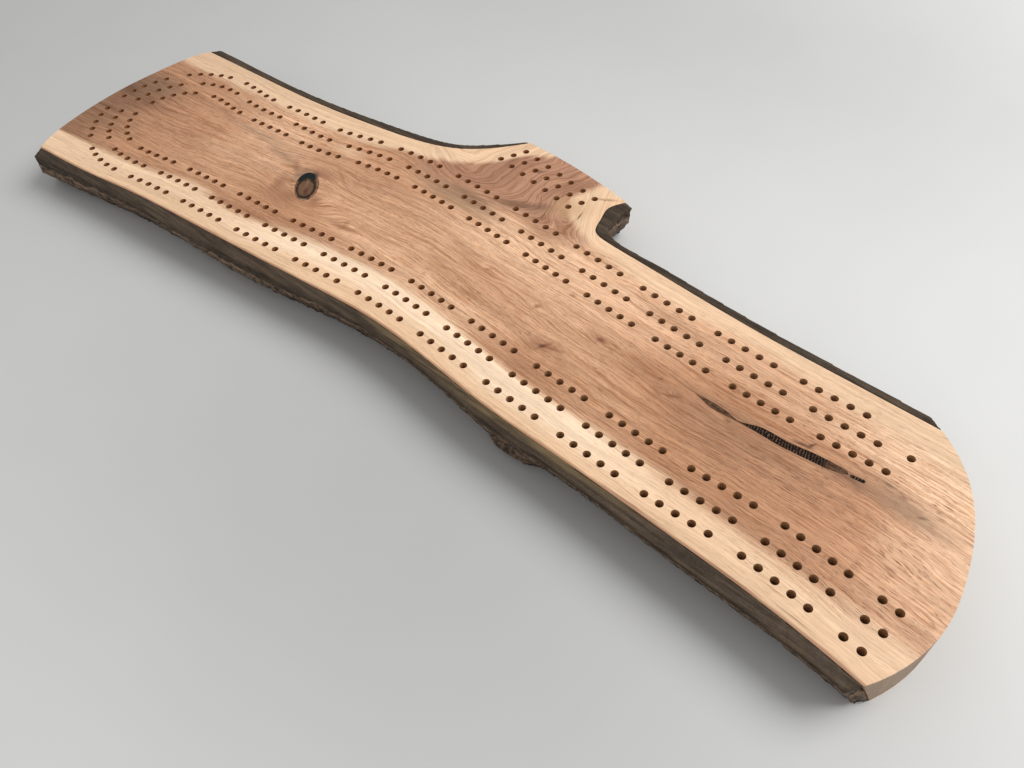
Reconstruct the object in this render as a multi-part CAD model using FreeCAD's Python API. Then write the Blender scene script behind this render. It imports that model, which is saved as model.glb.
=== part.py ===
import FreeCAD, Part
import math
import os

# Live-edge cribbage board, millimetres, +Z up, resting on its underside at z = 0.
#
# Layout frame of the numbers below: X runs along the board, Y across it, and the
# zero is midway between the two long streets of peg holes. The finished parts are
# moved by ORIGIN_SHIFT, so that the origin is the centre of the footprint.

Vector = FreeCAD.Vector
UP = Vector(0, 0, 1)

# ---- driving dimensions -------------------------------------------------------
INCH = 25.4
THICKNESS = 0.75 * INCH
HOLE_DIAMETER = INCH / 8
HOLE_DEPTH = 9.5
DRILL_POINT_ANGLE = 118.0
LANE_SPACING = 0.375 * INCH
LANE_STEP = 0.25
ORIGIN_SHIFT = Vector(9.19, -8.83, 0)

# the log tapers below the top face, so the underside is narrower
WOOD_UNDERCUT = 7.0
BARK_UNDERCUT = 8.0
BARK_WAIST_HEIGHT = 10.0
BARK_WAIST_UNDERCUT = 3.0

# ---- natural edges on the top face: (wood edge, outer edge of the bark) --------
NEAR_EDGE = [
    ((-262, -68.5), (-262, -76.0)),
    ((-238, -66.0), (-234, -72.5)),
    ((-204, -63.0), (-204, -68.5)),
    ((-165, -57.4), (-165, -64.6)),
    ((-122, -53.2), (-122, -61.0)),
    ((-80, -49.6), (-80, -56.5)),
    ((-42, -46.0), (-42, -52.8)),
    ((-8, -43.4), (-8, -49.7)),
    ((28, -45.1), (28, -50.8)),
    ((64, -48.3), (64, -54.4)),
    ((100, -49.1), (100, -55.0)),
    ((150, -50.6), (150, -57.6)),
    ((196, -53.3), (196, -59.7)),
    ((222, -56.6), (218, -62.0)),
    ((245, -60.0), (245, -66.0)),
]

FAR_LEFT_EDGE = [
    ((-20, 106.0), (-22, 108.0)),
    ((-31.5, 91.0), (-33.5, 91.8)),
    ((-43, 77.5), (-46.5, 79.2)),
    ((-57, 66.4), (-60.5, 69.2)),
    ((-76, 59.3), (-78, 64.0)),
    ((-104, 54.6), (-105, 59.8)),
    ((-145, 50.4), (-145, 55.2)),
    ((-190, 48.8), (-190, 53.3)),
    ((-225, 48.2), (-225, 53.3)),
    ((-262, 47.0), (-262, 52.0)),
]

FAR_RIGHT_EDGE = [
    ((245, 44.5), (245, 49.0)),
    ((200, 46.1), (197, 50.2)),
    ((170, 46.8), (170, 51.1)),
    ((132, 47.7), (132, 52.2)),
    ((96, 50.1), (96, 54.6)),
    ((62, 53.0), (62, 57.0)),
    ((44, 54.6), (45.5, 58.6)),
    ((35.5, 57.4), (39.0, 62.5)),
    ((32.3, 65.5), (38.0, 68.5)),
    ((30.4, 73.5), (38.0, 75.0)),
    ((33.5, 80.5), (39.5, 80.5)),
    ((41, 92.0), (44, 92.0)),
]

# where the bark hangs out below the top face: (place, half length, bulge)
BARK_LUMPS = [
    ((-222, -71), 34, 4.5),
    ((-86, -57), 30, 3.5),
    ((78, -55), 12, 4.0),
    ((38, 72), 13, 3.2),
]
LUMP_LEFT_AT_BOTTOM = 0.6

# ---- sawn ends -----------------------------------------------------------------
LEFT_END = [
    (-227, -84), (-234.3, -72.4), (-242, -60), (-247.9, -41), (-251, -20),
    (-251.6, 0), (-250, 20), (-247, 38), (-242.6, 48), (-237.5, 54), (-228, 62),
]
RIGHT_END = [
    (176, 62), (200.7, 46.4), (214.2, 34.8), (225.4, 16), (231.4, -5), (233.3, -22),
    (229.7, -42), (222.3, -56.8), (211, -70), (198, -82),
]
STUB_CUT = [(-48, 90.9), (0, 88.7), (52, 77.0)]
SAW_REACH = 320.0

# ---- peg holes -------------------------------------------------------------------
# middle lane of the street, from the start line round the left end to the finish
MIDDLE_LANE = [
    (219.7, -37.9), (200.7, -35.6), (172.0, -32.5), (140.0, -33.0), (99.0, -31.7),
    (61.2, -29.9), (23.6, -27.7), (-11.0, -26.4), (-46.4, -28.4), (-97.5, -33.1),
    (-141.8, -36.6), (-173.0, -40.3), (-198.4, -42.9), (-216.6, -38.0),
    (-230.1, -25.0), (-234.9, -5.0), (-228.7, 13.5), (-214.5, 25.7),
    (-197.0, 29.7), (-178.0, 28.4), (-143.0, 30.1), (-115.5, 31.6),
    (-92.8, 36.6), (-67.6, 39.8), (-38.0, 39.9), (8.7, 37.0), (52.6, 32.9),
    (109.1, 28.3), (147.3, 26.8), (185.3, 26.8), (206.0, 27.8),
]
# lanes out from the middle one: (lane number, hole pitch, lead over the start line)
LANES = [(1, 6.467, 1.7), (0, 6.337, 0.4), (-1, 6.19, 0.4)]
START_HOLES = [-3, -2]
HOLES_PER_GROUP = 5
GROUPS_PER_LANE = 24
FINISH_HOLE = (197.7, 28.0)
GAMES_CORNER = Vector(-34.8, 72.4, 0)
GAMES_STEP_ALONG = Vector(8.28, -1.48, 0)
GAMES_STEP_ACROSS = Vector(3.2, 5.9, 0)
GAMES_PER_PLAYER = 7
PLAYERS = 3

# ---- knot and crack, filled with resin --------------------------------------------
KNOT_SOCKET = {"centre": (-97.0, -1.2), "long": 11.0, "short": 6.0, "angle": -46.0}
KNOT_CORE = {"centre": (-96.4, -2.4), "long": 8.2, "short": 4.6, "angle": -46.0}
KNOT_TAPER = 0.7
CRACK_DEPTH = 6.0
CRACK_UPPER = [
    (122, 6.2), (130, 6.6), (137, 6.0), (141.5, 5.1), (145, 5.9), (149, 7.4),
    (160, 7.8), (168, 8.9), (177, 9.6), (183, 9.6),
]
CRACK_LOWER = [
    (184, 8.2), (178, 6.2), (170, 5.3), (160, 4.5), (150, 4.6), (140, 4.4),
    (130, 4.1), (126, 5.2),
]
TAIL_ENDS = [(185.3, 8.5), (189.2, 9.0)]
TAIL_WIDTH = 1.5

# ---- peg store in the underside -----------------------------------------------------
STORE_CENTRE = Vector(-14, 5.5, 0)
STORE_LENGTH = 60.0
STORE_WIDTH = 38.0
STORE_CEILING = 12.6
STORE_CORNER = 4.0
LID_LENGTH = 78.0
LID_WIDTH = 45.0
LID_CORNER = 6.0
LID_THICKNESS = 3.0
LID_SIDE_GAP = 0.4
LID_SET_BACK = 0.3
LID_TOP = LID_SET_BACK + LID_THICKNESS
LEDGE_HEIGHT = LID_TOP + 0.2
FINGER_SCOOP_RADIUS = 8.0
FINGER_SCOOP_DEPTH = 2.6
MAGNET_DIAMETER = 5.0
MAGNET_THICKNESS = 1.5
MAGNET_SPACING = 69.0

# ---- pegs ---------------------------------------------------------------------------
PEG_LENGTH = 42.0
PEG_HEAD_DIAMETER = 4.6
PEG_HEAD_LENGTH = 6.0
PEG_DOME_LENGTH = 2.4
PEG_DOME_BULGE = 0.35
PEG_LIP_SHARE = 0.8
PEG_GROOVE_START = 4.4
PEG_GROOVE_WIDTH = 1.0
PEG_END_FLAT = 0.45
PEG_POINT_BULGE = 0.86
PEG_POINT_LENGTH_SHARE = 0.4
PEG_NECK_DIAMETER = 3.0
PEG_TIP_DIAMETER = 2.4
PEG_ROW_SPACING = 4.95
PEG_LAYER_RISE = 4.05
PEG_FLOOR_GAP = 0.15
PEG_STAGGER = 2.5
PEGS_MIDDLE = Vector(0, -6.5, 0)
PEG_FINISHES = ["brass", "steel", "black"]


# ---- small helpers ---------------------------------------------------------------

def at(point, z=0.0):
    """A layout point as a vector at height z."""
    return Vector(point[0], point[1], z)


def spline(points, z=0.0):
    """A smooth edge through layout points."""
    curve = Part.BSplineCurve()
    curve.interpolate([at(p, z) for p in points])
    return curve.toShape()


def line(start, end, z=0.0):
    """A straight edge between two layout points."""
    return Part.makeLine(at(start, z), at(end, z))


def prism(edges, bottom, top):
    """A solid over a closed outline, from height bottom to height top."""
    face = Part.Face(Part.Wire(edges))
    solid = face.extrude(Vector(0, 0, top - bottom))
    solid.translate(Vector(0, 0, bottom))
    return solid


def rounded_plate(length, width, corner, bottom, top):
    """A rounded rectangle about the store's centre, as a solid."""
    half_x = length / 2
    half_y = width / 2
    box = Part.makeBox(length, width, top - bottom)
    box.translate(STORE_CENTRE + Vector(-half_x, -half_y, bottom))
    uprights = [e for e in box.Edges if abs(e.tangentAt(0).z) > 0.99]
    return box.makeFillet(corner, uprights)


def moved_along_normals(points, distances):
    """Points moved to the left of their direction of travel."""
    moved = []
    last = len(points) - 1
    for i, point in enumerate(points):
        before = at(points[max(i - 1, 0)])
        after = at(points[min(i + 1, last)])
        left = UP.cross(after - before).normalize()
        moved.append(tuple(at(point) + left * distances[i])[:2])
    return moved


# ---- the log: wood core and bark ----------------------------------------------------

def outline_edges(near, far_right, far_left, z):
    """A closed outline: near edge, right end, round the branch stub, left end."""
    return [
        spline(near, z),
        line(near[-1], far_right[0], z),
        spline(far_right, z),
        line(far_right[-1], far_left[0], z),
        spline(far_left, z),
        line(far_left[-1], near[0], z),
    ]


def side(rows, index):
    """The wood edge (index 0) or the bark's outer edge (index 1) of an edge's rows."""
    return [row[index] for row in rows]


def section(index, undercut, z, lump=0.0):
    """The log's outline at one height, moved in by the undercut."""
    moved = []
    for rows in (NEAR_EDGE, FAR_RIGHT_EDGE, FAR_LEFT_EDGE):
        points = side(rows, index)
        distances = [undercut - lump * bark_lump(p) for p in points]
        moved.append(moved_along_normals(points, distances))
    return Part.Wire(outline_edges(*moved, z))


def bark_lump(point):
    """How far the bark hangs out at a point of the log's edge."""
    lump = 0.0
    for centre, half_length, bulge in BARK_LUMPS:
        reach = at(point).distanceToPoint(at(centre)) / half_length
        lump += bulge * math.exp(-reach * reach)
    return lump


def wood_core():
    """The log's wood, before the ends are sawn."""
    top = section(0, 0.0, THICKNESS)
    bottom = section(0, WOOD_UNDERCUT, 0.0)
    return Part.makeLoft([bottom, top], True, True)


def whole_log():
    """The log's wood and bark together, before the ends are sawn."""
    top = section(1, 0.0, THICKNESS)
    waist = section(1, BARK_WAIST_UNDERCUT, BARK_WAIST_HEIGHT, lump=1.0)
    bottom = section(1, BARK_UNDERCUT, 0.0, lump=LUMP_LEFT_AT_BOTTOM)
    return Part.makeLoft([bottom, waist, top], True, True)


def end_cutter(edge, points, away):
    """What one saw cut takes away: from the cut's edge as far as the away point."""
    start, end = points[0], points[-1]
    if away[0]:
        corners = [(away[0], end[1]), (away[0], start[1])]
    else:
        corners = [(end[0], away[1]), (start[0], away[1])]
    outline = [
        edge,
        line(end, corners[0]),
        line(corners[0], corners[1]),
        line(corners[1], start),
    ]
    return prism(outline, -1.0, THICKNESS + 1.0)


def end_cutters():
    """What the saw takes away past the left end, the right end and the stub."""
    stub = Part.Arc(*[at(p) for p in STUB_CUT]).toShape()
    return [
        end_cutter(spline(LEFT_END), LEFT_END, (-SAW_REACH, 0)),
        end_cutter(spline(RIGHT_END), RIGHT_END, (SAW_REACH, 0)),
        end_cutter(stub, STUB_CUT, (0, SAW_REACH)),
    ]


def biggest_solid(shape):
    """The largest solid of a shape."""
    return max(shape.Solids, key=lambda s: s.Volume)


def bark_strips(log, core, cutters):
    """The bark on the near edge, and on the far edge left and right of the stub."""
    ring = log.cut(core).cut(cutters)
    solids = sorted(ring.Solids, key=lambda s: -s.Volume)[:3]
    near = min(solids, key=lambda s: s.CenterOfMass.y)
    far = [s for s in solids if s is not near]
    far.sort(key=lambda s: s.CenterOfMass.x)
    return {"bark_near": near, "bark_far_left": far[0], "bark_far_right": far[1]}


# ---- peg holes -----------------------------------------------------------------------

def lane_point(curve, distance, lane):
    """A point of a lane, beside the middle lane at a distance from its start."""
    u = curve.parameterAtDistance(distance, curve.FirstParameter)
    outward = UP.cross(curve.tangent(u)[0]).normalize()
    return curve.value(u) + outward * lane * LANE_SPACING


def lane_holes(lane, pitch, lead):
    """Hole centres of one lane: start holes, then groups of five with a wider gap."""
    curve = Part.BSplineCurve()
    curve.interpolate([at(p) for p in MIDDLE_LANE])
    wanted = list(START_HOLES)
    for group in range(GROUPS_PER_LANE):
        first = group * (HOLES_PER_GROUP + 1)
        wanted += range(first, first + HOLES_PER_GROUP)
    marks = [lead + (w - START_HOLES[0]) * pitch for w in wanted]

    holes = []
    walked = 0.0
    previous = lane_point(curve, 0.0, lane)
    for i in range(1, int(curve.length() / LANE_STEP) + 1):
        here = lane_point(curve, i * LANE_STEP, lane)
        leap = here.distanceToPoint(previous)
        while marks and marks[0] <= walked + leap:
            share = (marks.pop(0) - walked) / leap
            holes.append(previous + (here - previous) * share)
        walked += leap
        previous = here
    return holes


def games_holes():
    """Three rows of seven holes that count the games won."""
    holes = []
    for player in range(PLAYERS):
        for game in range(GAMES_PER_PLAYER):
            step = GAMES_STEP_ALONG * game + GAMES_STEP_ACROSS * player
            holes.append(GAMES_CORNER + step)
    return holes


def all_holes():
    """Every peg hole's centre on the board."""
    holes = []
    for lane, pitch, lead in LANES:
        holes += lane_holes(lane, pitch, lead)
    holes.append(at(FINISH_HOLE))
    return holes + games_holes()


def drill(centre):
    """One drilled blind hole, with the drill's pointed end."""
    radius = HOLE_DIAMETER / 2
    point = radius / math.tan(math.radians(DRILL_POINT_ANGLE / 2))
    top = THICKNESS + 1.0
    floor = THICKNESS - HOLE_DEPTH
    profile = Part.makePolygon([
        Vector(0, 0, top),
        Vector(radius, 0, top),
        Vector(radius, 0, floor),
        Vector(0, 0, floor - point),
        Vector(0, 0, top),
    ])
    tool = Part.Face(profile).revolve(Vector(0, 0, 0), UP, 360)
    tool.translate(at(centre))
    return tool


# ---- knot, crack and resin --------------------------------------------------------------

def tapered_ellipse(shape, bottom):
    """An elliptic plug at a slant, narrower towards the underside."""
    wires = []
    for z, scale in ((bottom, KNOT_TAPER), (THICKNESS, 1.0)):
        ellipse = Part.Ellipse(Vector(0, 0, 0), shape["long"] * scale, shape["short"] * scale)
        edge = ellipse.toShape()
        edge.rotate(Vector(0, 0, 0), UP, shape["angle"])
        edge.translate(at(shape["centre"], z))
        wires.append(Part.Wire([edge]))
    return Part.makeLoft(wires, True, True)


def crack_cavity():
    """The long crack beside the right end of the board."""
    upper = spline(CRACK_UPPER)
    lower = spline(CRACK_LOWER)
    edges = [
        upper,
        line(CRACK_UPPER[-1], CRACK_LOWER[0]),
        lower,
        line(CRACK_LOWER[-1], CRACK_UPPER[0]),
    ]
    return prism(edges, THICKNESS - CRACK_DEPTH, THICKNESS)


def tail_cavity():
    """The short crack beyond the long one, with round ends."""
    start, end = (at(p) for p in TAIL_ENDS)
    along = (end - start).normalize()
    half = UP.cross(along) * (TAIL_WIDTH / 2)
    cap = along * (TAIL_WIDTH / 2)
    edges = [
        Part.makeLine(start + half, end + half),
        Part.Arc(end + half, end + cap, end - half).toShape(),
        Part.makeLine(end - half, start - half),
        Part.Arc(start - half, start - cap, start + half).toShape(),
    ]
    return prism(edges, THICKNESS - CRACK_DEPTH / 2, THICKNESS)


# ---- peg store ------------------------------------------------------------------------

def magnet(sign, bottom):
    """A disc magnet near one end of the lid."""
    place = STORE_CENTRE + Vector(sign * MAGNET_SPACING / 2, 0, bottom)
    return Part.makeCylinder(MAGNET_DIAMETER / 2, MAGNET_THICKNESS, place)


def store_cavity():
    """The pocket, the lid's seat, the finger scoop and the magnets' seats."""
    pocket = rounded_plate(STORE_LENGTH, STORE_WIDTH, STORE_CORNER, 0.0, STORE_CEILING)
    seat = rounded_plate(LID_LENGTH + 2 * LID_SIDE_GAP, LID_WIDTH + 2 * LID_SIDE_GAP,
                         LID_CORNER + LID_SIDE_GAP, -1.0, LEDGE_HEIGHT)
    scoop_place = STORE_CENTRE + Vector(0, LID_WIDTH / 2, -1.0)
    scoop = Part.makeCylinder(FINGER_SCOOP_RADIUS, FINGER_SCOOP_DEPTH + 1.0, scoop_place)
    tools = [seat, scoop, magnet(-1, LEDGE_HEIGHT), magnet(1, LEDGE_HEIGHT)]
    return pocket.fuse(tools)


def store_lid():
    """The lid, with a seat for a magnet near each end."""
    lid = rounded_plate(LID_LENGTH, LID_WIDTH, LID_CORNER, LID_SET_BACK, LID_TOP)
    seats = [magnet(sign, LID_TOP - MAGNET_THICKNESS) for sign in (-1, 1)]
    return lid.cut(seats)


# ---- pegs --------------------------------------------------------------------------------

def peg():
    """A turned peg along +X: domed head, groove, tapered shank, rounded tip, flat ends."""
    head = PEG_HEAD_DIAMETER / 2
    neck = PEG_NECK_DIAMETER / 2
    tip = PEG_TIP_DIAMETER / 2
    lip = head * PEG_LIP_SHARE
    crown = Vector(0, 0, head * PEG_END_FLAT)
    crown_side = Vector(PEG_DOME_LENGTH * PEG_DOME_BULGE, 0, lip)
    rim = Vector(PEG_DOME_LENGTH, 0, head)
    groove_in = Vector(PEG_GROOVE_START, 0, lip)
    groove_floor = Vector(PEG_GROOVE_START + PEG_GROOVE_WIDTH / 2, 0, neck)
    groove_out = Vector(PEG_GROOVE_START + PEG_GROOVE_WIDTH, 0, lip)
    shoulder = Vector(PEG_HEAD_LENGTH, 0, neck)
    shank_end = Vector(PEG_LENGTH - tip, 0, tip)
    tip_side = Vector(PEG_LENGTH - tip * PEG_POINT_LENGTH_SHARE, 0, tip * PEG_POINT_BULGE)
    point = Vector(PEG_LENGTH, 0, tip * PEG_END_FLAT)
    edges = [
        Part.Arc(crown, crown_side, rim).toShape(),
        Part.makeLine(rim, groove_in),
        Part.Arc(groove_in, groove_floor, groove_out).toShape(),
        Part.makeLine(groove_out, shoulder),
        Part.makeLine(shoulder, shank_end),
        Part.Arc(shank_end, tip_side, point).toShape(),
        Part.makeLine(point, Vector(PEG_LENGTH, 0, 0)),
        Part.makeLine(Vector(PEG_LENGTH, 0, 0), Vector(0, 0, 0)),
        Part.makeLine(Vector(0, 0, 0), crown),
    ]
    face = Part.Face(Part.Wire(edges))
    return face.revolve(Vector(0, 0, 0), Vector(1, 0, 0), 360)


def stored_pegs():
    """Nine pegs lying head to tail in two layers on the lid, along one side of the store."""
    floor = LID_TOP + PEG_FLOOR_GAP + PEG_HEAD_DIAMETER / 2
    places = [(y, 0) for y in (-2, -1, 0, 1, 2)] + [(y, 1) for y in (-1.5, -0.5, 0.5, 1.5)]
    pegs = {}
    for i, (row, layer) in enumerate(places):
        solid = peg()
        solid.translate(Vector(-PEG_LENGTH / 2, 0, 0))
        along = PEG_STAGGER
        if i % 2:
            solid.rotate(Vector(0, 0, 0), UP, 180)
            along = -PEG_STAGGER
        lift = floor + layer * PEG_LAYER_RISE
        place = Vector(along, row * PEG_ROW_SPACING, lift)
        solid.translate(STORE_CENTRE + PEGS_MIDDLE + place)
        finish = PEG_FINISHES[i % PLAYERS]
        pegs[f"peg_{finish}_{i // PLAYERS + 1}"] = solid
    return pegs


# ---- the whole board --------------------------------------------------------------------

def build():
    """Every piece of the board, by name."""
    cutters = end_cutters()
    core = wood_core()
    socket = tapered_ellipse(KNOT_SOCKET, 0.0)
    knot = tapered_ellipse(KNOT_CORE, 0.0)
    crack = crack_cavity()
    tail = tail_cavity()
    store = store_cavity()
    holes = all_holes()

    parts = bark_strips(whole_log(), core, cutters)
    slab = biggest_solid(core.cut(cutters))
    slab = slab.cut([socket, crack, tail, store])
    slab = slab.cut([drill(hole) for hole in holes])
    parts["slab"] = biggest_solid(slab)

    parts["knot"] = knot
    parts["knot_resin"] = socket.cut(knot)
    parts["crack_resin"] = crack
    parts["crack_resin_tail"] = tail
    parts["store_lid"] = store_lid()
    for sign, name in ((-1, "left"), (1, "right")):
        parts[f"slab_magnet_{name}"] = magnet(sign, LEDGE_HEIGHT)
        parts[f"lid_magnet_{name}"] = magnet(sign, LID_TOP - MAGNET_THICKNESS)
    parts.update(stored_pegs())

    for shape in parts.values():
        shape.translate(ORIGIN_SHIFT)
    print("peg holes:", len(holes))
    return parts


def main():
    os.makedirs("parts", exist_ok=True)
    total = FreeCAD.BoundBox()
    for name, shape in build().items():
        shape.exportStep(f"parts/{name}.step")
        total.add(shape.BoundBox)
        print(name, "valid" if shape.isValid() else "NOT VALID",
              len(shape.Solids), "solid", round(shape.Volume / 1000, 2), "cm3")
    print("box from", [round(v, 2) for v in (total.XMin, total.YMin, total.ZMin)],
          "to", [round(v, 2) for v in (total.XMax, total.YMax, total.ZMax)])


main()
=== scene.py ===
import math

import bpy
import numpy as np
from mathutils import Matrix, Vector, noise
from mathutils.kdtree import KDTree


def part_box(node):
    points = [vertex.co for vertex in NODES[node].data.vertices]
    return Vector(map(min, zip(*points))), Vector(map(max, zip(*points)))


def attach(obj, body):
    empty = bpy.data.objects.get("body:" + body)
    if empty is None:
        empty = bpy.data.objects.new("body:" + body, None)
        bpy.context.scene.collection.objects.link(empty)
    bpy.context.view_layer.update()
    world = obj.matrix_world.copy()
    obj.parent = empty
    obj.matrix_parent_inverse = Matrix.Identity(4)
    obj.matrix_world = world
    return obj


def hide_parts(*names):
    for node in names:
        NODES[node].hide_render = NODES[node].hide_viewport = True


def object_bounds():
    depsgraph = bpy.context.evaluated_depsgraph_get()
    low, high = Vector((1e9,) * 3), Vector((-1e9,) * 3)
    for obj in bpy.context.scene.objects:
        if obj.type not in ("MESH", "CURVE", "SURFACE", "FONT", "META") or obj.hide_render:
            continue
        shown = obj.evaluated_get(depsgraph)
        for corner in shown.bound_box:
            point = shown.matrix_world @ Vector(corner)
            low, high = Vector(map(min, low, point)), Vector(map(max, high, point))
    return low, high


# The looks of a live-edge cribbage board. Sizes here are in millimetres, unless a
# name says otherwise; MM turns them into the frame's metres.

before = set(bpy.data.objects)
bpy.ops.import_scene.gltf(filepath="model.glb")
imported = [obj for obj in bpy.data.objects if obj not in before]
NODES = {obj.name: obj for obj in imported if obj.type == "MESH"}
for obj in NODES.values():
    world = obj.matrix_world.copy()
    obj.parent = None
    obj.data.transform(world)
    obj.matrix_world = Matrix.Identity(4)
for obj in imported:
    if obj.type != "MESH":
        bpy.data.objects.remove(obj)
CAD_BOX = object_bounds()
MM = 0.001

# ---- places, taken from the frame -------------------------------------------------
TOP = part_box("slab")[1].z / MM
KNOT_MIDDLE = (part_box("knot_resin")[0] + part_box("knot_resin")[1]) / (2 * MM)
# the middle of the hole street is the zero of the places below, which puts the knot here
KNOT_PLACE = (-97.0, -1.2)
ZERO_X = KNOT_MIDDLE.x - KNOT_PLACE[0]
ZERO_Y = KNOT_MIDDLE.y - KNOT_PLACE[1]
# a drilled hole lies above this height, and its facets are narrower than this
HOLE_FLOOR = 8.4
HOLE_FACET = 1.2

# ---- camera and light ---------------------------------------------------------------
CAMERA_PLACE = (217.0, -186.9, TOP + 261.2)
CAMERA_TARGET = (64.4, -33.6, TOP)
CAMERA_ROLL = 5.1
CAMERA_LENS_MM = 30.6
CAMERA_CLIP_START_M = 0.01
KEY_PLACE = (900.0, 900.0, 1500.0)
KEY_TARGET = (60.0, 0.0, 0.0)
KEY_SIZE = 1500.0
KEY_WATTS = 30.0
SKY_COLOUR = (0.965, 0.98, 1.0)
SKY_STRENGTH = 0.55
FLOOR_HALF = 2400.0

# ---- the run of the wood: (along the board, height) ------------------------------------
# how the grain bends near the two edges, this far from the middle
RUN_REACH = 55.0
NEAR_RUN = [
    (-260, -19), (-204, -13), (-165, -7.4), (-122, -3.2), (-80, 0.4), (-42, 4), (-8, 6.6),
    (28, 4.9), (64, 1.7), (100, 0.9), (150, -0.6), (196, -3.3), (222, -6.6), (250, -11),
]
FAR_RUN = [
    (-260, -3), (-190, -1.2), (-145, 0.4), (-104, 4.6), (-80, 8), (-60, 10), (-30, 10),
    (0, 8), (30, 5), (62, 3), (96, 0), (132, -2.3), (170, -3.2), (250, -5.5),
]
# where the sapwood starts, on the near side and on the far side
NEAR_SAP = [
    (-260, -52), (-240, -50.5), (-215, -47.5), (-180, -41), (-140, -33.5), (-120, -35),
    (-100, -33.5), (-80, -29), (-60, -25), (-40, -22.5), (-20, -21), (0, -21.5), (20, -23),
    (40, -26), (60, -29), (100, -30), (140, -33), (180, -35.5), (250, -39),
]
FAR_SAP = [
    (-260, 33), (-215, 33), (-180, 34.5), (-140, 37), (-115, 38.5), (-100, 40.5), (-80, 47),
    (-60, 53), (-45, 60), (-35, 70), (-28, 80), (-14, 90), (-8, 118), (7, 118), (11, 72),
    (20, 58), (30, 52), (60, 45.5), (90, 40.5), (140, 38.5), (180, 34.5), (250, 27),
]
# the near and far edges of the wood on the top face
NEAR_EDGE = [
    (-260, -68.4), (-238, -66.0), (-204, -63.0), (-165, -57.4), (-122, -53.2), (-80, -49.6),
    (-42, -46.0), (-8, -43.4), (28, -45.1), (64, -48.3), (100, -49.1), (150, -50.6),
    (196, -53.3), (222, -56.6), (250, -60.6),
]
# how light the heartwood looks along the board (0 dark, 100 pale), partly the wood's own tone and
# partly painted light that falls off towards the left end: far side, middle, near side
FAR_TONE_AND_LIGHT = [
    (-260, 36), (-240, 38), (-215, 42), (-180, 60), (-140, 72), (-100, 54), (-60, 56),
    (-20, 70), (20, 82), (60, 78), (100, 68), (140, 66), (180, 82), (215, 98), (250, 98),
]
MIDDLE_TONE_AND_LIGHT = [
    (-260, 4), (-240, 8), (-215, 30), (-180, 48), (-140, 66), (-100, 58), (-60, 62),
    (-20, 62), (20, 58), (60, 62), (100, 50), (140, 25), (180, 34), (215, 72), (250, 86),
]
NEAR_TONE_AND_LIGHT = [
    (-260, 14), (-240, 17), (-215, 36), (-180, 52), (-140, 58), (-100, 44), (-60, 60),
    (-20, 76), (20, 78), (60, 50), (100, 58), (140, 40), (180, 41), (215, 64), (250, 78),
]


# ---- numbers and colours worked out by a material's nodes --------------------------------

class Value:
    """A number that a material's nodes work out at each point of a surface."""

    def __init__(self, tree, socket):
        self.tree = tree
        self.socket = socket

    def op(self, operation, *others):
        node = self.tree.nodes.new("ShaderNodeMath")
        node.operation = operation
        plug(self.tree, self, node.inputs[0])
        for index, other in enumerate(others, 1):
            plug(self.tree, other, node.inputs[index])
        return Value(self.tree, node.outputs[0])

    def __add__(self, other):
        return self.op("ADD", other)

    def __sub__(self, other):
        return self.op("SUBTRACT", other)

    def __rsub__(self, other):
        return self.op("MULTIPLY_ADD", -1.0, other)

    def __mul__(self, other):
        return self.op("MULTIPLY", other)

    def __truediv__(self, other):
        return self.op("DIVIDE", other)

    def rise(self, low, high, bottom=0.0, top=1.0):
        """Rises smoothly from bottom to top as the value goes from low to high."""
        node = self.tree.nodes.new("ShaderNodeMapRange")
        node.interpolation_type = "SMOOTHSTEP"
        for name, value in zip(("Value", "From Min", "From Max", "To Min", "To Max"),
                               (self, low, high, bottom, top)):
            plug(self.tree, value, node.inputs[name])
        return Value(self.tree, node.outputs[0])

    def along(self, points, lowest=-90.0, highest=130.0):
        """The height of a smooth line through points (value, height)."""
        first, last = points[0][0], points[-1][0]
        node = self.tree.nodes.new("ShaderNodeFloatCurve")
        curve = node.mapping.curves[0]
        for _ in points[2:]:
            curve.points.new(0.5, 0.5)
        for point, (place, height) in zip(curve.points, points):
            point.location = ((place - first) / (last - first),
                              (height - lowest) / (highest - lowest))
        node.mapping.update()
        share = (self - first) / (last - first)
        plug(self.tree, share, node.inputs["Value"])
        return Value(self.tree, node.outputs[0]) * (highest - lowest) + lowest


def plug(tree, value, socket):
    """Feeds a socket with a Value, a node's output or a plain number or colour."""
    if isinstance(value, Value):
        value = value.socket
    if isinstance(value, bpy.types.NodeSocket):
        tree.links.new(value, socket)
    else:
        socket.default_value = value


def rgb(red, green, blue):
    """A colour from 0 to 255 a channel, as the shader's linear RGBA."""
    def linear(part):
        part /= 255
        return part / 12.92 if part <= 0.04045 else ((part + 0.055) / 1.055) ** 2.4
    return (linear(red), linear(green), linear(blue), 1.0)


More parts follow.
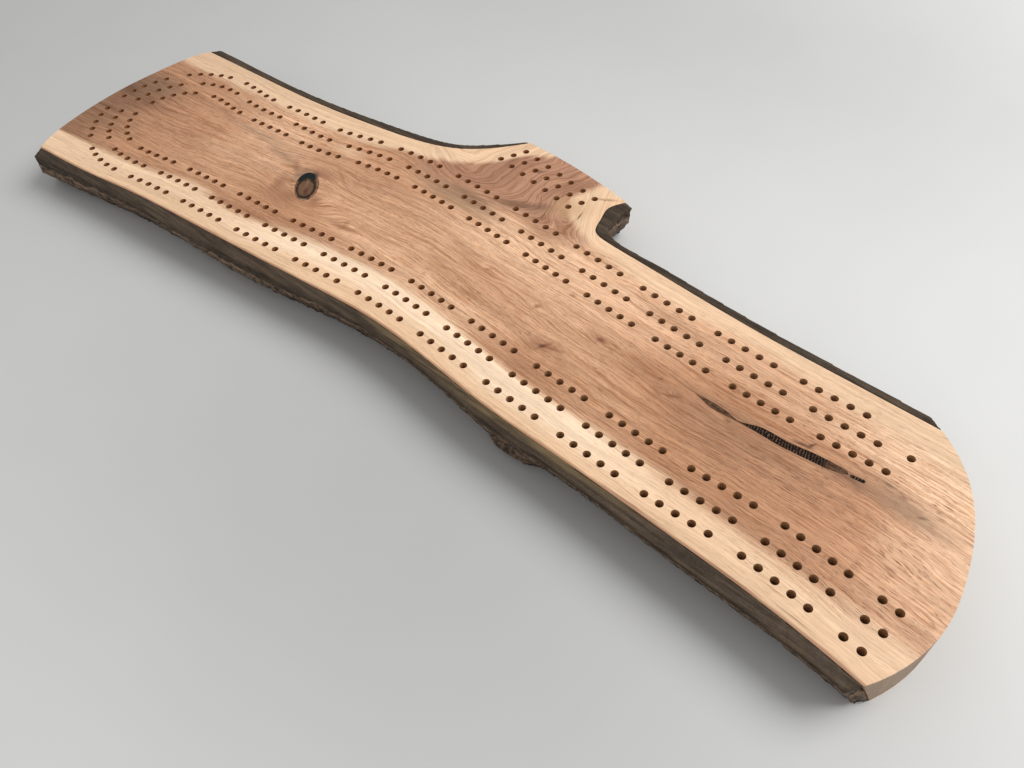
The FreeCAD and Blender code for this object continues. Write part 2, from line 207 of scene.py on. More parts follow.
class Look:
    """One material: its nodes, its shader and the place of each point in millimetres."""

    def __init__(self, name):
        self.material = bpy.data.materials.new(name)
        self.material.use_nodes = True
        self.tree = self.material.node_tree
        self.shader = self.tree.nodes["Principled BSDF"]
        place = self.tree.nodes.new("ShaderNodeTexCoord").outputs["Object"]
        parts = self.tree.nodes.new("ShaderNodeSeparateXYZ")
        self.tree.links.new(place, parts.inputs[0])
        x, y, z = (Value(self.tree, socket) for socket in parts.outputs)
        self.x = x * (1 / MM) - ZERO_X
        self.y = y * (1 / MM) - ZERO_Y
        self.z = z * (1 / MM)

    def vector(self, x, y, z=0.0):
        """Three numbers as one vector."""
        node = self.tree.nodes.new("ShaderNodeCombineXYZ")
        for socket, value in zip(node.inputs, (x, y, z)):
            plug(self.tree, value, socket)
        return node.outputs[0]

    def noise(self, place, detail=3.0, roughness=0.5):
        """Cloudy noise from 0 to 1 at a place (x, y, z); one cloud is about 1 wide."""
        node = self.tree.nodes.new("ShaderNodeTexNoise")
        plug(self.tree, self.vector(*place), node.inputs["Vector"])
        node.inputs["Scale"].default_value = 1.0
        node.inputs["Detail"].default_value = detail
        node.inputs["Roughness"].default_value = roughness
        return Value(self.tree, node.outputs[0])

    def mix(self, factor, first, second, blend="MIX"):
        """The first colour at factor 0, and the second one over it at factor 1."""
        node = self.tree.nodes.new("ShaderNodeMix")
        node.data_type = "RGBA"
        node.blend_type = blend
        plug(self.tree, factor, node.inputs[0])
        plug(self.tree, first, node.inputs[6])
        plug(self.tree, second, node.inputs[7])
        return node.outputs[2]

    def times(self, colour, factor):
        """A colour made lighter or darker by a number."""
        return self.mix(1.0, colour, self.vector(factor, factor, factor), "MULTIPLY")

    def spot(self, centre, long, short, degrees=0.0, warp=None):
        """1 in the middle of a slanted ellipse, falling to 0 at its rim."""
        angle = math.radians(degrees)
        x = self.x - centre[0]
        y = self.y - centre[1]
        if warp is not None:
            x = x + warp
            y = y - warp
        along = (x * math.cos(angle) + y * math.sin(angle)) / long
        across = (y * math.cos(angle) - x * math.sin(angle)) / short
        reach = (along * along + across * across).op("SQRT")
        return reach.rise(1.0, 0.0)

    def bump(self, height, strength, distance):
        """Shades the surface as if it rose with a height, by a distance in millimetres."""
        node = self.tree.nodes.new("ShaderNodeBump")
        node.inputs["Strength"].default_value = strength
        node.inputs["Distance"].default_value = distance * MM
        plug(self.tree, height, node.inputs["Height"])
        self.tree.links.new(node.outputs[0], self.shader.inputs["Normal"])

    def finish(self, colour, roughness, **fixed):
        """Sets the shader's colour and roughness, and fixed values by socket name."""
        plug(self.tree, colour, self.shader.inputs["Base Color"])
        plug(self.tree, roughness, self.shader.inputs["Roughness"])
        for name, value in fixed.items():
            self.shader.inputs[name.replace("_", " ")].default_value = value
        return self.material


# ---- wood ---------------------------------------------------------------------------------

HEART_DARK = rgb(130, 94, 69)
HEART_MIDDLE = rgb(190, 141, 106)
HEART_PALE = rgb(245, 203, 166)
HEART_BROWN = rgb(150, 103, 74)
KNOT_RED = rgb(134, 82, 55)
KNOT_BLACK = rgb(34, 32, 31)
STUB_HEART = rgb(168, 122, 96)
PORE_BROWN = rgb(108, 66, 44)
STREAK_TINT = rgb(255, 232, 212)
SAPWOOD = rgb(239, 201, 164)
SAPWOOD_BRIGHT = rgb(254, 224, 191)
SAPWOOD_EDGE = rgb(234, 195, 157)
SAPWOOD_TAN = rgb(200, 160, 120)
GREY_STAIN = rgb(138, 110, 86)
DARK_STAIN = rgb(88, 56, 38)
END_GRAIN = rgb(136, 115, 94)

# soft patches of colour: (centre, half length, half width, angle, colour, strength)
PATCHES = [
    ((-252, -3), 20, 8, 0, DARK_STAIN, 0.60),
    ((-238, 8), 26, 12, 8, GREY_STAIN, 0.45),
    ((-243, -21.5), 18, 1.8, 8, DARK_STAIN, 0.65),
    ((-172, 2), 11, 3.5, 0, HEART_BROWN, 0.50),
    ((-150, 12.5), 46, 5, 3, GREY_STAIN, 0.40),
    ((-126, 8), 22, 4, -6, GREY_STAIN, 0.50),
    ((-113, 6), 11, 3.0, -38, HEART_BROWN, 0.75),
    ((-110, -9), 6, 13, 12, HEART_BROWN, 0.70),
    ((-100, -12), 15, 10, 10, HEART_BROWN, 0.75),
    ((-86, -6), 9, 6, -30, HEART_BROWN, 0.85),
    ((-99, 10), 15, 6, 10, HEART_BROWN, 0.75),
    ((-106, 4), 6, 9, 0, GREY_STAIN, 0.85),
    ((-100.2, 7.2), 4.2, 2.8, -24, KNOT_BLACK, 0.95),
    ((-88, 14), 12, 1.6, -28, HEART_BROWN, 0.55),
    ((-106, 17), 14, 1.6, 12, HEART_BROWN, 0.45),
    ((-102, 31), 18, 6, 4, SAPWOOD, 0.55),
    ((-60, -11), 15, 3.0, 6, HEART_BROWN, 0.70),
    ((-60, -10), 2.2, 7, 0, HEART_BROWN, 0.50),
    ((-34, 38), 44, 10, -4, GREY_STAIN, 0.62),
    ((-24, 41), 26, 6, -6, DARK_STAIN, 0.48),
    ((-3, 52), 25, 4.2, 27, DARK_STAIN, 0.62),
    ((18, 42), 22, 7, -8, HEART_BROWN, 0.62),
    ((16, 63), 14, 12, 0, SAPWOOD_TAN, 0.75),
    ((-16, 60), 2.0, 13, 14, HEART_BROWN, 0.55),
    ((-13, 76), 5.5, 2.2, 35, DARK_STAIN, 0.65),
    ((6, 76), 7, 15, -14, HEART_BROWN, 0.60),
    ((26, 78), 9, 1.4, 30, HEART_BROWN, 0.70),
    ((23.5, 61.3), 0.9, 4.8, 12, DARK_STAIN, 0.90),
    ((45, 44), 26, 2.4, -6, HEART_BROWN, 0.30),
    ((-2, 12), 18, 2.8, -10, HEART_BROWN, 0.50),
    ((13, 9), 3, 1.4, 30, HEART_BROWN, 0.75),
    ((-8, 1), 12, 2.4, 8, HEART_BROWN, 0.35),
    ((61, -11), 15, 6, 24, HEART_BROWN, 0.60),
    ((61.5, -10.5), 6.5, 1.5, 66, KNOT_RED, 0.85),
    ((64, -10), 8.0, 1.3, 14, KNOT_RED, 0.75),
    ((61, -11), 2.2, 1.6, 30, DARK_STAIN, 0.90),
    ((77.5, 6), 1.8, 1.2, 0, DARK_STAIN, 0.90),
    ((61, -24), 16, 8, 0, HEART_BROWN, 0.30),
    ((78, 6), 13, 4.5, 0, HEART_BROWN, 0.60),
    ((77.5, 6), 3.2, 2.0, 0, KNOT_RED, 0.95),
    ((53, 19), 3, 1.2, 0, HEART_BROWN, 0.80),
    ((45, 5), 3.0, 1.8, 60, KNOT_RED, 0.70),
    ((100, 5), 18, 5.0, -6, KNOT_RED, 0.45),
    ((108, 4.2), 1.8, 1.3, 0, KNOT_RED, 0.90),
    ((116, -0.2), 6.0, 1.5, 22, KNOT_RED, 0.85),
    ((110, -2), 7, 1.4, -28, HEART_BROWN, 0.65),
    ((139, 2.6), 2.4, 1.0, 0, DARK_STAIN, 0.50),
    ((168.2, 11.6), 3.2, 1.1, 66, DARK_STAIN, 0.95),
    ((165.2, 10.1), 6.5, 1.1, 9, DARK_STAIN, 0.95),
    ((184, 8), 12, 4.0, -4, DARK_STAIN, 0.60),
    ((205, 8), 30, 8.0, -6, GREY_STAIN, 0.62),
    ((197, 13), 4, 1.0, 0, DARK_STAIN, 0.60),
    ((203, 11), 3, 0.9, 0, DARK_STAIN, 0.55),
    ((211, 7.5), 3, 0.9, 20, DARK_STAIN, 0.60),
    ((228, 8), 7, 1.0, -10, DARK_STAIN, 0.50),
    ((-185, 23), 16, 2.5, -3, HEART_BROWN, 0.30),
    ((132, -48.8), 22, 0.7, -1, DARK_STAIN, 0.55),
    ((172, -51.0), 16, 0.8, -3, DARK_STAIN, 0.75),
    ((196, -50.5), 12, 0.7, -5, DARK_STAIN, 0.50),
    ((186, -46.0), 9, 0.6, -4, HEART_BROWN, 0.60),
]
# little knots that turn the grain aside: (centre, reach)
PIN_KNOTS = [
    ((61, -11), 9), ((78, 6), 7), ((45, 5), 5), ((13, 9), 8), ((-60, -10), 9), ((113, 1), 6),
]
# the branch: a point on its axis, how far the axis leans, and how its grain steps across it
BRANCH_POINT = (-12.0, 40.0)
BRANCH_LEAN = 0.24
BRANCH_STEP = -0.38
BRANCH_START = 46.0
# how far the wood turns aside round the big knot and round the little ones (1 is fully)
KNOT_TURN = 0.72
PIN_TURN = 0.7
# the crotch: where its sapwood starts beside the stub, and how far that border leans
CROTCH_POINT = (10.0, 65.0)
CROTCH_LEAN = 0.38
# how far below the top a sawn end starts to show its end grain, and shows it fully
END_START = 0.35
END_FULL = 0.65


def grain_run(look):
    """The distance across the grain: a fibre keeps the same value all along."""
    near = look.x.along(NEAR_RUN)
    far = look.x.along(FAR_RUN)
    trunk = look.y - near - (far - near) * look.y.rise(-RUN_REACH, RUN_REACH)
    axis = look.x - BRANCH_POINT[0] - (look.y - BRANCH_POINT[1]) * BRANCH_LEAN
    branch = axis * BRANCH_STEP + BRANCH_START
    share = look.y.rise(30, 60) * look.x.rise(-78, -36) * look.x.rise(46, 12)
    run = trunk + (branch - trunk) * share
    run = run - (look.y + 1.0) * look.spot((-97, -1), 42, 23, -14) * KNOT_TURN
    for centre, reach in PIN_KNOTS:
        run = run - (look.y - centre[1]) * look.spot(centre, reach * 2.2, reach) * PIN_TURN
    drift = look.noise((look.x * 0.012, look.y * 0.03, look.z * 0.01), 2.0) - 0.5
    ripple = look.noise((look.x * 0.055, look.y * 0.11, look.z * 0.02), 3.0) - 0.5
    return run + drift * 9.0 + ripple * 2.6


def sapwood_share(look, run):
    """How far a place is into the pale outer wood, in millimetres; below 0 in the heartwood."""
    fray = look.noise((look.x * 0.02, run * 0.35), 4.0) - 0.5
    near = look.x.along(NEAR_SAP) + fray * 8.0 - look.y
    far = look.y - look.x.along(FAR_SAP) - fray * 6.0
    crotch = look.x - CROTCH_POINT[0] - (look.y - CROTCH_POINT[1]) * CROTCH_LEAN
    crotch = crotch.op("MAXIMUM", 0.0 - look.x)
    crotch = crotch.op("MAXIMUM", (62.0 - look.y) * 0.7)
    return near.op("MAXIMUM", far.op("MINIMUM", crotch))


def heart_colour(look):
    """The heartwood without its streaks; how light it is along the board is partly painted light,
    darker towards the left end.
    """
    far_share = look.y.rise(4, 26)
    near_share = look.y.rise(-3, -20)
    tone = look.x.along(MIDDLE_TONE_AND_LIGHT, 0, 100)
    tone = tone + (look.x.along(FAR_TONE_AND_LIGHT, 0, 100) - tone) * far_share
    tone = tone + (look.x.along(NEAR_TONE_AND_LIGHT, 0, 100) - tone) * near_share
    tone = tone / 100.0
    colour = look.mix(tone.rise(0.0, 0.5), HEART_DARK, HEART_MIDDLE)
    colour = look.mix(tone.rise(0.42, 1.02), colour, HEART_PALE)
    stub = look.y.rise(38, 50) * look.x.rise(-84, -56) * look.x.rise(46, 26)
    return look.mix(stub * 0.85, colour, STUB_HEART)


def wood_colour(look, run):
    """The board's colour: heartwood, sapwood, streaks, pores and a painted sheen."""
    fine = look.noise((look.x * 0.040, run * 1.5, look.z * 0.5), 7.0, 0.76)
    hair = look.noise((look.x * 0.10, run * 3.2, look.z), 4.0, 0.7)
    ribbon = look.noise((look.x * 0.010, run * 0.55), 3.0, 0.6)
    band = look.noise((look.x * 0.008, run * 0.26, look.z * 0.15), 4.0, 0.6)
    painted_shimmer = look.noise((look.x * 0.16, look.y * 0.10, look.z * 0.1), 3.0, 0.6)
    depth = sapwood_share(look, run)
    soft = look.x.rise(110, 190, 2.6, 5.0)
    share = depth.rise(soft * -1.0, soft + 0.4)
    sap = look.mix(depth.rise(5.0, 19.0), SAPWOOD, SAPWOOD_EDGE)
    near = look.y.rise(0.0, -10.0)
    bright = look.x.rise(-130, -60, 0.15, 0.9) * look.x.rise(150, 90) * near
    bright = bright * depth.rise(0.0, 3.0) * depth.rise(16.0, 8.0)
    sap = look.mix(bright, sap, SAPWOOD_BRIGHT)
    dull = look.x.rise(-130, -200) * look.y.rise(0, 20) * 0.08 + look.x.rise(90, 190) * 0.05
    sap = look.times(sap, band.rise(0.3, 0.7, 1.05, 0.92) - dull)
    sap = look.times(sap, ribbon.rise(0.35, 0.65, 1.04, 0.93))
    heart = look.times(heart_colour(look), band.rise(0.3, 0.7, 1.12, 0.86))
    rim = depth.rise(-9.0, -2.0) * 0.30
    heart = look.mix(rim * near, heart, HEART_BROWN)
    colour = look.mix(share, heart, sap)
    contrast = 1.0 - share * 0.55
    streak = (fine - 0.5) * contrast * -2.1 + 1.0
    streak = streak - (hair - 0.5) * contrast * 1.3
    colour = look.times(colour, streak.op("MAXIMUM", 0.5))
    colour = look.mix(streak.rise(1.0, 0.78) * contrast, colour,
                      look.mix(1.0, colour, STREAK_TINT, "MULTIPLY"))
    # painted sheen: soft lighter and darker blotches standing in for the wood's changing lustre
    colour = look.times(colour, (painted_shimmer - 0.5) * contrast * 0.24 + 1.0)
    pore = look.noise((look.x * 0.22, run * 3.0, look.z), 3.0, 0.65)
    dense = look.noise((look.x * 0.02, look.y * 0.05), 3.0, 0.6)
    flecks = pore.rise(0.54, 0.66) * look.x.rise(120, 215, 0.65, 1.0) * dense.rise(0.2, 0.6)
    return look.mix(flecks * contrast, colour, PORE_BROWN)


def bark_line(look):
    """The thin brown line where the near edge's wood meets its bark."""
    wander = look.noise((look.x * 0.05, 0.0), 3.0) - 0.5
    return (look.y - look.x.along(NEAR_EDGE) + wander * 1.6).rise(1.6, 0.3)


def wood():
    """The sawn, sanded and oiled face of the board."""
    look = Look("wood")
    run = grain_run(look)
    colour = wood_colour(look, run)
    edge = (look.noise((look.x * 0.10, run * 0.45), 3.0) - 0.5) * 5.0
    for centre, long, short, angle, tint, strength in PATCHES:
        patch = look.spot(centre, long, short, angle, warp=edge * min(1.0, short / 5.0))
        colour = look.mix(patch * strength, colour, tint)
    colour = look.mix(bark_line(look) * 0.8, colour, HEART_BROWN)
    sawn_end = look.z.rise(0.2, 0.5) * look.z.rise(TOP - END_START, TOP - END_FULL)
    rays = look.noise((look.x * 0.9, look.y * 0.9, look.z * 0.25), 4.0, 0.65)
    end_wood = look.mix(0.6, look.times(colour, 0.62), END_GRAIN)
    colour = look.mix(sawn_end, colour, look.times(end_wood, rays.rise(0.3, 0.7, 1.15, 0.85)))
    pore = look.noise((look.x * 0.10, run * 2.6, look.z * 2.0), 3.0, 0.6)
    look.bump(pore, 0.12, 0.25)
    roughness = pore.rise(0.3, 0.7, 0.42, 0.56)
    return look.finish(colour, roughness, Specular_IOR_Level=0.25)


def hole_wall():
    """The walls of the drilled holes: end grain, with painted shade that darkens them deeper in
    each hole, and darker towards the board's left end.
    """
    look = Look("hole_wall")
    rings = look.noise((look.x * 0.9, look.y * 0.9, look.z * 3.0), 3.0, 0.6)
    left = look.mix(rings.rise(0.3, 0.7), rgb(146, 90, 54), rgb(206, 142, 90))
    right = look.mix(rings.rise(0.3, 0.7), rgb(150, 112, 80), rgb(212, 170, 126))
    colour = look.mix(look.x.rise(-80, 120), left, right)
    # painted shade: darker deeper into each hole
    colour = look.times(colour, look.z.rise(HOLE_FLOOR, TOP, 0.30, 1.0))
    # darker towards the board's left end
    colour = look.times(colour, look.x.rise(-240, 80, 0.66, 1.0))
    return look.finish(colour, 0.7, Specular_IOR_Level=0.2)


def lid_wood():
    """The lid's own strip of wood, straight-grained."""
    look = Look("lid_wood")
    wave = look.noise((look.x * 0.02, look.y * 0.05), 2.0) * 6.0
    run = look.y + wave
    fine = look.noise((look.x * 0.03, run * 1.3, look.z), 5.0, 0.6)
    band = look.noise((look.x * 0.008, run * 0.3), 3.0)
    colour = look.mix(band, rgb(202, 156, 122), rgb(156, 108, 80))
    colour = look.times(colour, fine.rise(0.35, 0.7, 1.08, 0.78))
    look.bump(fine, 0.12, 0.25)
    return look.finish(colour, fine.rise(0.3, 0.7, 0.40, 0.55))


# ---- bark, knot, resin and metal ------------------------------------------------------------

def bark():
    """Bark: smooth and dark at the sawn top, flaky at its lip, rough below, with painted shade on
    its lowest part and a pale lip band that is partly a painted highlight.
    """
    look = Look("bark")
    lengthwise = look.noise((look.x * 0.05, look.y * 0.7, look.z * 0.5), 4.0, 0.6)
    grit = look.noise((look.x * 1.3, look.y * 1.3, look.z * 1.3), 3.0, 0.6)
    lumps = look.noise((look.x * 0.35, look.y * 0.35, look.z * 0.35), 6.0, 0.65)
    flakes = look.noise((look.x * 0.16, look.y * 0.5, look.z * 0.9), 4.0, 0.6)
    wander = look.noise((look.x * 0.07, look.y * 0.07), 3.0, 0.6) - 0.5
    below = TOP - look.z + wander * 6.5
    smooth = look.mix(lengthwise.rise(0.35, 0.7), rgb(54, 43, 32), rgb(84, 69, 53))
    smooth = look.times(smooth, grit.rise(0.3, 0.7, 0.86, 1.14))
    rough = look.mix(lumps.rise(0.35, 0.65), rgb(36, 28, 22), rgb(126, 104, 84))
    rough = look.mix(flakes.rise(0.5, 0.7) * 0.7, rough, rgb(150, 118, 96))
    # painted shade: the rough bark darker towards the floor
    rough = look.times(rough, look.z.rise(6.0, 0.0, 1.0, 0.55))
    inner = (look.x.along(NEAR_EDGE) - look.y + wander * 3.0).rise(4.2, 1.5)
    inner = inner * look.y.rise(0.0, -10.0) * look.x.rise(-40, 40) * look.x.rise(150, 90)
    smooth = look.mix(inner * lengthwise.rise(0.3, 0.6) * 0.55, smooth, rgb(124, 104, 70))
    colour = look.mix(below.rise(4.6, 6.2), smooth, rough)
    # a pale band at the lip: partly pale flakes, partly a painted highlight along the lip's edge
    lip = below.rise(4.4, 5.2) * below.rise(7.2, 5.8) * flakes.rise(0.40, 0.56)
    colour = look.mix(lip * 0.6, colour, rgb(158, 130, 108))
    height = lumps * below.rise(3.5, 6.0, 0.15, 1.0) + grit * 0.15
    look.bump(height, 0.7, 1.0)
    return look.finish(colour, lumps.rise(0.3, 0.7, 0.55, 0.9), Specular_IOR_Level=0.25)


# the knot lies slanted: the angle of its long axis
KNOT_ANGLE = -46
# the crack's filling: how far apart its fibres are
FIBRE_SPACING = 1.15


def knot_wood():
    """The knot's brown core: pale streak, darker heart, black rim."""
    look = Look("knot_wood")
    grain = look.noise((look.x * 0.5, look.y * 0.5), 5.0, 0.7)
    wander = (grain - 0.5) * 3.0
    ring = look.spot((-96.4, -2.4), 9.0, 5.4, KNOT_ANGLE, warp=wander * 1.6)
    colour = look.mix(ring.rise(0.06, 0.36), rgb(34, 25, 19), rgb(112, 82, 60))
    streak = look.spot((-97.5, -1.0), 7.5, 1.4, -50, warp=wander * 0.6)
    colour = look.mix(streak * 0.6, colour, rgb(140, 106, 84))
    heart = look.spot((-94.5, -4.0), 5.5, 1.8, -50, warp=wander)
    colour = look.mix(heart * 0.85, colour, rgb(88, 44, 30))
    colour = look.times(colour, grain.rise(0.3, 0.7, 0.72, 1.15))
    look.bump(grain, 0.25, 0.4)
    return look.finish(colour, grain.rise(0.3, 0.7, 0.5, 0.65), Specular_IOR_Level=0.15)


def resin():
    """Dark, mottled resin round the knot: blue-black where it is deep, brown at its rim."""
    look = Look("resin")
    cloud = look.noise((look.x * 0.5, look.y * 0.5), 5.0, 0.65)
    inner = look.spot((-96.7, -1.8), 10.8, 6.2, KNOT_ANGLE, warp=(cloud - 0.5) * 6.0)
    brown = look.mix(cloud.rise(0.40, 0.62), rgb(92, 64, 46), rgb(150, 110, 82))
    mottle = look.noise((look.x * 1.1, look.y * 1.1), 4.0, 0.7)
    dark = look.mix(mottle.rise(0.44, 0.60), rgb(32, 22, 15), rgb(100, 82, 64))
    colour = look.mix(inner.rise(0.04, 0.16), brown, dark)
    deep = look.spot((-103.0, 3.5), 8.0, 6.5, 0, warp=(cloud - 0.5) * 5.0)
    blue_black = look.mix(mottle, rgb(14, 16, 16), rgb(38, 46, 45))
    colour = look.mix(deep.rise(0.05, 0.4), colour, blue_black)
    pale = look.spot((-91, -9), 3.0, 4.0, 30, warp=(cloud - 0.5) * 3.0)
    colour = look.mix(pale * 0.7, colour, rgb(150, 128, 106))
    return look.finish(colour, cloud.rise(0.3, 0.7, 0.5, 0.7), Specular_IOR_Level=0.07)


def crack_filling():
    """The crack's filling: black with fibres across it, grey-brown at both ends."""
    look = Look("crack_filling")
    cloud = look.noise((look.x * 0.4, look.y * 0.9), 5.0, 0.65)
    slant = look.x + look.y * 0.3 + (cloud - 0.5) * 2.2
    fibres = (slant * (2.0 * math.pi / FIBRE_SPACING)).op("SINE")
    broken = look.noise((look.x * 0.9, look.y * 0.5), 3.0, 0.6)
    fibres = fibres.rise(0.1, 0.8) * broken.rise(0.35, 0.6)
    black = look.mix(fibres * 0.8, rgb(19, 13, 10), rgb(112, 80, 58))
    ends = look.mix(cloud.rise(0.35, 0.65), rgb(56, 38, 28), rgb(108, 78, 56))
    middle = look.x.rise(139.0, 146.0) * look.x.rise(178.5, 174.0)
    tail = look.x.rise(184.0, 185.0)
    colour = look.mix(middle.op("MAXIMUM", tail), ends, black)
    look.bump(fibres + cloud, 0.3, 0.3)
    return look.finish(colour, cloud.rise(0.3, 0.7, 0.5, 0.75), Specular_IOR_Level=0.08)


def wear(look):
    """Fine scratches along a turned piece."""
    return look.noise((look.x * 0.8, look.y * 6.0, look.z * 6.0), 4.0, 0.6)


def metal(name, pale, dark, roughness):
    """Turned or plated metal with fine wear."""
    look = Look(name)
    worn = wear(look)
    colour = look.mix(worn.rise(0.35, 0.7), pale, dark)
    look.bump(worn, 0.05, 0.05)
    return look.finish(colour, worn.rise(0.3, 0.7, roughness, roughness + 0.15), Metallic=1.0)


def black_finish():
    """Black anodised metal."""
    look = Look("peg_black")
    worn = wear(look)
    colour = look.mix(worn.rise(0.5, 0.75), rgb(24, 24, 27), rgb(58, 58, 62))
    return look.finish(colour, worn.rise(0.3, 0.7, 0.28, 0.42))


# ---- the floor ------------------------------------------------------------------------------

# two soft patches of painted shade on the table top: (centre, half length, half width, angle),
# strength
NEAR_SHADE = ((100, -105), 320, 190, -4)
NEAR_SHADE_STRENGTH = 0.28
FAR_SHADE = ((0, 270), 400, 180, 0)
FAR_SHADE_STRENGTH = 0.12


def floor():
    """A plain pale table top, with painted light that makes it lighter to the right and two soft
    patches of painted shade.
    """
    look = Look("floor")
    paper = look.noise((look.x * 0.02, look.y * 0.02), 3.0)
    colour = look.mix(paper, rgb(206, 205, 202), rgb(211, 210, 207))
    # painted light: the table top lighter to the right and darker to the left
    side = look.x * 0.9 - look.y * 0.1
    colour = look.times(colour, side.rise(-420.0, 330.0, 0.78, 1.15))
    # painted shade: broad soft shadows on the board's near side and far side
    near = 1.0 - look.spot(*NEAR_SHADE) * NEAR_SHADE_STRENGTH
    far = 1.0 - look.spot(*FAR_SHADE) * FAR_SHADE_STRENGTH
    colour = look.times(colour, near * far)
    look.finish(colour, 0.85)
    half = FLOOR_HALF * MM
    mesh = bpy.data.meshes.new("floor")
    mesh.from_pydata([(-half, -half, 0), (half, -half, 0), (half, half, 0), (-half, half, 0)],
                     [], [(0, 1, 2, 3)])
    mesh.materials.append(look.material)
    piece = bpy.data.objects.new("floor", mesh)
    bpy.context.scene.collection.objects.link(piece)


# ---- bark ------------------------------------------------------------------------------------

BARK_VOXEL = 0.8
# below the top by this much, the bark's surface stays flat and smooth
LIP = 1.0
FURROW_DEPTH = 1.5
# a faint share of the furrows shows even at the lip, and all of them below it
LIP_FURROWS = 0.10
LIP_FADE = 3.0
# the furrows stay clear of the slab: from this gap on, over this reach
CLEAR_GAP = 1.2
CLEAR_REACH = 2.0
# how far apart the points on the slab's sides are
SIDE_STEP = 1.5
# how level a normal is, from -1 to 1: on a side face, on a hole's wall, on the top, underneath
SIDE_LEVEL = 0.7
WALL_LEVEL = 0.9
TOP_LEVEL = 0.75
BOTTOM_LEVEL = -0.6
# the bark's underside is drawn flat from this height down
BOTTOM_BAND = 0.7
# a normal with less sideways part than this pushes less than fully
LEAST_SIDEWAYS = 0.05
# the lump of bark that hangs out low on the near side: place, half length, top, bulge
HANG_X = ZERO_X + 77.0
HANG_LENGTH = 11.0
HANG_TOP = 9.0
HANG_FADE = 3.0
HANG_OUT = 3.4


def ramp(value, start, reach):
    """0 up to a start, then rising to 1 over a reach."""
    return min(max((value - start) / reach, 0.0), 1.0)


def remeshed(node):
    """A new object with a fine, even mesh of a node's shape."""
    mesh = NODES[node].data.copy()
    piece = bpy.data.objects.new(node + "_detail", mesh)
    bpy.context.scene.collection.objects.link(piece)
    modifier = piece.modifiers.new("remesh", "REMESH")
    modifier.mode = "VOXEL"
    modifier.voxel_size = BARK_VOXEL * MM
    graph = bpy.context.evaluated_depsgraph_get()
    fine = bpy.data.meshes.new_from_object(piece.evaluated_get(graph))
    piece.modifiers.clear()
    piece.data = fine
    fine.name = node + "_detail"
    return piece


def read(items, name, width, kind=float):
    """An attribute of all of a mesh's vertices or faces, as one array."""
    values = np.empty(len(items) * width, kind)
    items.foreach_get(name, values)
    return values.reshape(-1, width)


def slab_triangles():
    """The corners and the normal of each of the slab's triangles."""
    mesh = NODES["slab"].data
    mesh.calc_loop_triangles()
    corners = read(mesh.loop_triangles, "vertices", 3, np.int32)
    normals = read(mesh.loop_triangles, "normal", 3)
    return read(mesh.vertices, "co", 3)[corners], normals


def slab_sides():
    """A search tree of points all over the slab's side faces."""
    triangles, normals = slab_triangles()
    steep = np.abs(normals[:, 2]) < SIDE_LEVEL
    outer = triangles[:, :, 2].min(axis=1) < HOLE_FLOOR * MM
    points = []
    for a, b, c in triangles[steep & outer]:
        longest = max(np.linalg.norm(b - a), np.linalg.norm(c - b), np.linalg.norm(a - c))
        steps = int(longest / (SIDE_STEP * MM)) + 1
        for i in range(steps + 1):
            for j in range(steps + 1 - i):
                points.append(a + (b - a) * (i / steps) + (c - a) * (j / steps))
    tree = KDTree(len(points))
    for index, point in enumerate(points):
        tree.insert(point, index)
    tree.balance()
    return tree


def furrow(place):
    """How deep the bark's surface is cut at a place, from 0 to about 1."""
    p = Vector((place.x * 0.11, place.y * 0.11, place.z * 0.05)) / MM
    big = noise.ridged_multi_fractal(p, 0.9, 2.1, 4, 1.0, 2.0)
    small = noise.fractal(Vector(place) / MM * 0.55, 0.8, 2.0, 4)
    return ramp(0.95 - big * 0.42 + small * 0.25, 0.0, 1.0)


def hang(place):
    """How far the near side's lump of bark hangs out at a place."""
    reach = (place[0] / MM - HANG_X) / HANG_LENGTH
    low = ramp(HANG_TOP - place[2] / MM, 0.0, HANG_FADE)
    return HANG_OUT * low * math.exp(-reach ** 4)


def rough_bark(node, sides):
    """A bark strip: flat on the top face, furrowed and flaky outside."""
    piece = remeshed(node)
    mesh = piece.data
    places = read(mesh.vertices, "co", 3)
    normals = read(mesh.vertices, "normal", 3)
    low, high = CAD_BOX
    for place, normal in zip(places, normals):
        depth = TOP - place[2] / MM
        outward = np.array((normal[0], normal[1], 0.0))
        outward /= max(np.linalg.norm(outward), LEAST_SIDEWAYS)
        gap = sides.find(place)[2] / MM
        clear = ramp(gap, CLEAR_GAP, CLEAR_REACH)
        furrows = LIP_FURROWS + (1.0 - LIP_FURROWS) * ramp(depth, LIP * 0.4, LIP_FADE)
        push = -furrow(Vector(place)) * FURROW_DEPTH * clear * furrows
        if place[1] < 0.0:
            push += hang(place) * clear
        if normal[2] > TOP_LEVEL and depth < LIP:
            push = 0.0
            place[2] = TOP * MM
        elif normal[2] < BOTTOM_LEVEL and place[2] < BOTTOM_BAND * MM:
            place[2] = 0.0
        place += outward * push * MM
        place[:2] = np.clip(place[:2], low[:2], high[:2])
    mesh.vertices.foreach_set("co", places.ravel())
    mesh.shade_smooth()
    return piece


# ---- putting it together -----------------------------------------------------------------------

def paint(node, *materials):
    """Gives a CAD node its materials."""
    slots = NODES[node].data.materials
    slots.clear()
    for material in materials:
        slots.append(material)


def paint_slab(face, wall):
    """Gives the slab its wood, and the drilled holes their own walls."""
    paint("slab", face, wall)
    triangles, normals = slab_triangles()
    deep = triangles[:, :, 2].min(axis=1) > HOLE_FLOOR * MM
    spread = np.ptp(triangles[:, :, :2], axis=1).max(axis=1)
    in_hole = deep & (np.abs(normals[:, 2]) < WALL_LEVEL) & (spread < HOLE_FACET * MM)
    NODES["slab"].data.polygons.foreach_set("material_index", in_hole.astype(np.int32))


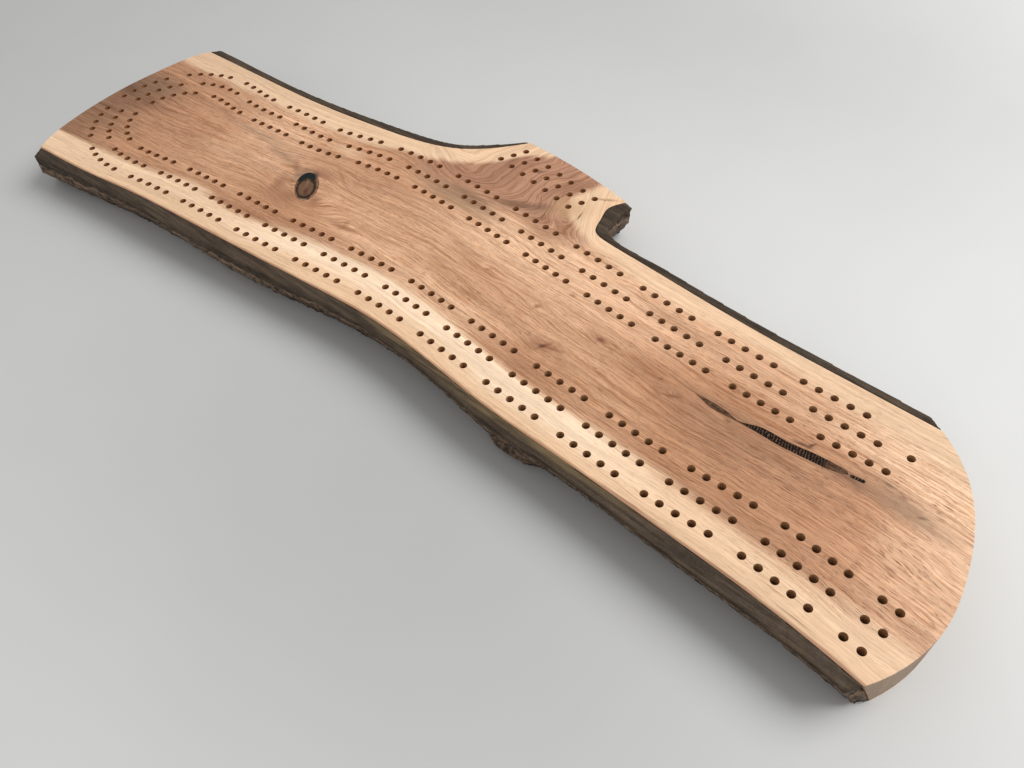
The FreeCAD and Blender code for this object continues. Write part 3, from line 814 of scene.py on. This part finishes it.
def frame_point(point):
    """A place given from the middle of the hole street, in the frame's metres."""
    return Vector((point[0] + ZERO_X, point[1] + ZERO_Y, point[2])) * MM


def aimed(place, target):
    """The place and the turn of something at one place that looks at another."""
    start = frame_point(place)
    aim = frame_point(target) - start
    return Matrix.Translation(start) @ aim.to_track_quat("-Z", "Y").to_matrix().to_4x4()


def camera():
    """The camera, at the photograph's viewing angle."""
    roll = Matrix.Rotation(math.radians(-CAMERA_ROLL), 4, "Z")
    data = bpy.data.cameras.new("camera")
    data.lens = CAMERA_LENS_MM
    data.clip_start = CAMERA_CLIP_START_M
    piece = bpy.data.objects.new("camera", data)
    piece.matrix_world = aimed(CAMERA_PLACE, CAMERA_TARGET) @ roll
    bpy.context.scene.collection.objects.link(piece)
    bpy.context.scene.camera = piece


def lights():
    """One large soft light and a pale sky."""
    data = bpy.data.lights.new("key", "AREA")
    data.shape = "DISK"
    data.size = KEY_SIZE * MM
    data.energy = KEY_WATTS
    piece = bpy.data.objects.new("key", data)
    piece.matrix_world = aimed(KEY_PLACE, KEY_TARGET)
    bpy.context.scene.collection.objects.link(piece)
    world = bpy.data.worlds.new("sky")
    world.use_nodes = True
    background = world.node_tree.nodes["Background"]
    background.inputs["Color"].default_value = (*SKY_COLOUR, 1.0)
    background.inputs["Strength"].default_value = SKY_STRENGTH
    bpy.context.scene.world = world
    bpy.context.scene.view_settings.view_transform = "Standard"


camera()
lights()
floor()

paint_slab(wood(), hole_wall())
bark_material = bark()
sides = slab_sides()
for strip in ("bark_near", "bark_far_left", "bark_far_right"):
    detail = rough_bark(strip, sides)
    detail.data.materials.clear()
    detail.data.materials.append(bark_material)
    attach(detail, "board")
    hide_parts(strip)

paint("knot", knot_wood())
paint("knot_resin", resin())
filling = crack_filling()
for node in ("crack_resin", "crack_resin_tail"):
    paint(node, filling)
paint("store_lid", lid_wood())
plated = metal("magnet", rgb(200, 200, 204), rgb(160, 160, 166), 0.2)
finishes = {
    "brass": metal("peg_brass", rgb(226, 184, 96), rgb(190, 146, 70), 0.22),
    "steel": metal("peg_steel", rgb(214, 214, 218), rgb(170, 170, 176), 0.22),
    "black": black_finish(),
}
for side in ("left", "right"):
    paint("slab_magnet_" + side, plated)
    paint("lid_magnet_" + side, plated)
for finish, material in finishes.items():
    for number in (1, 2, 3):
        paint(f"peg_{finish}_{number}", material)
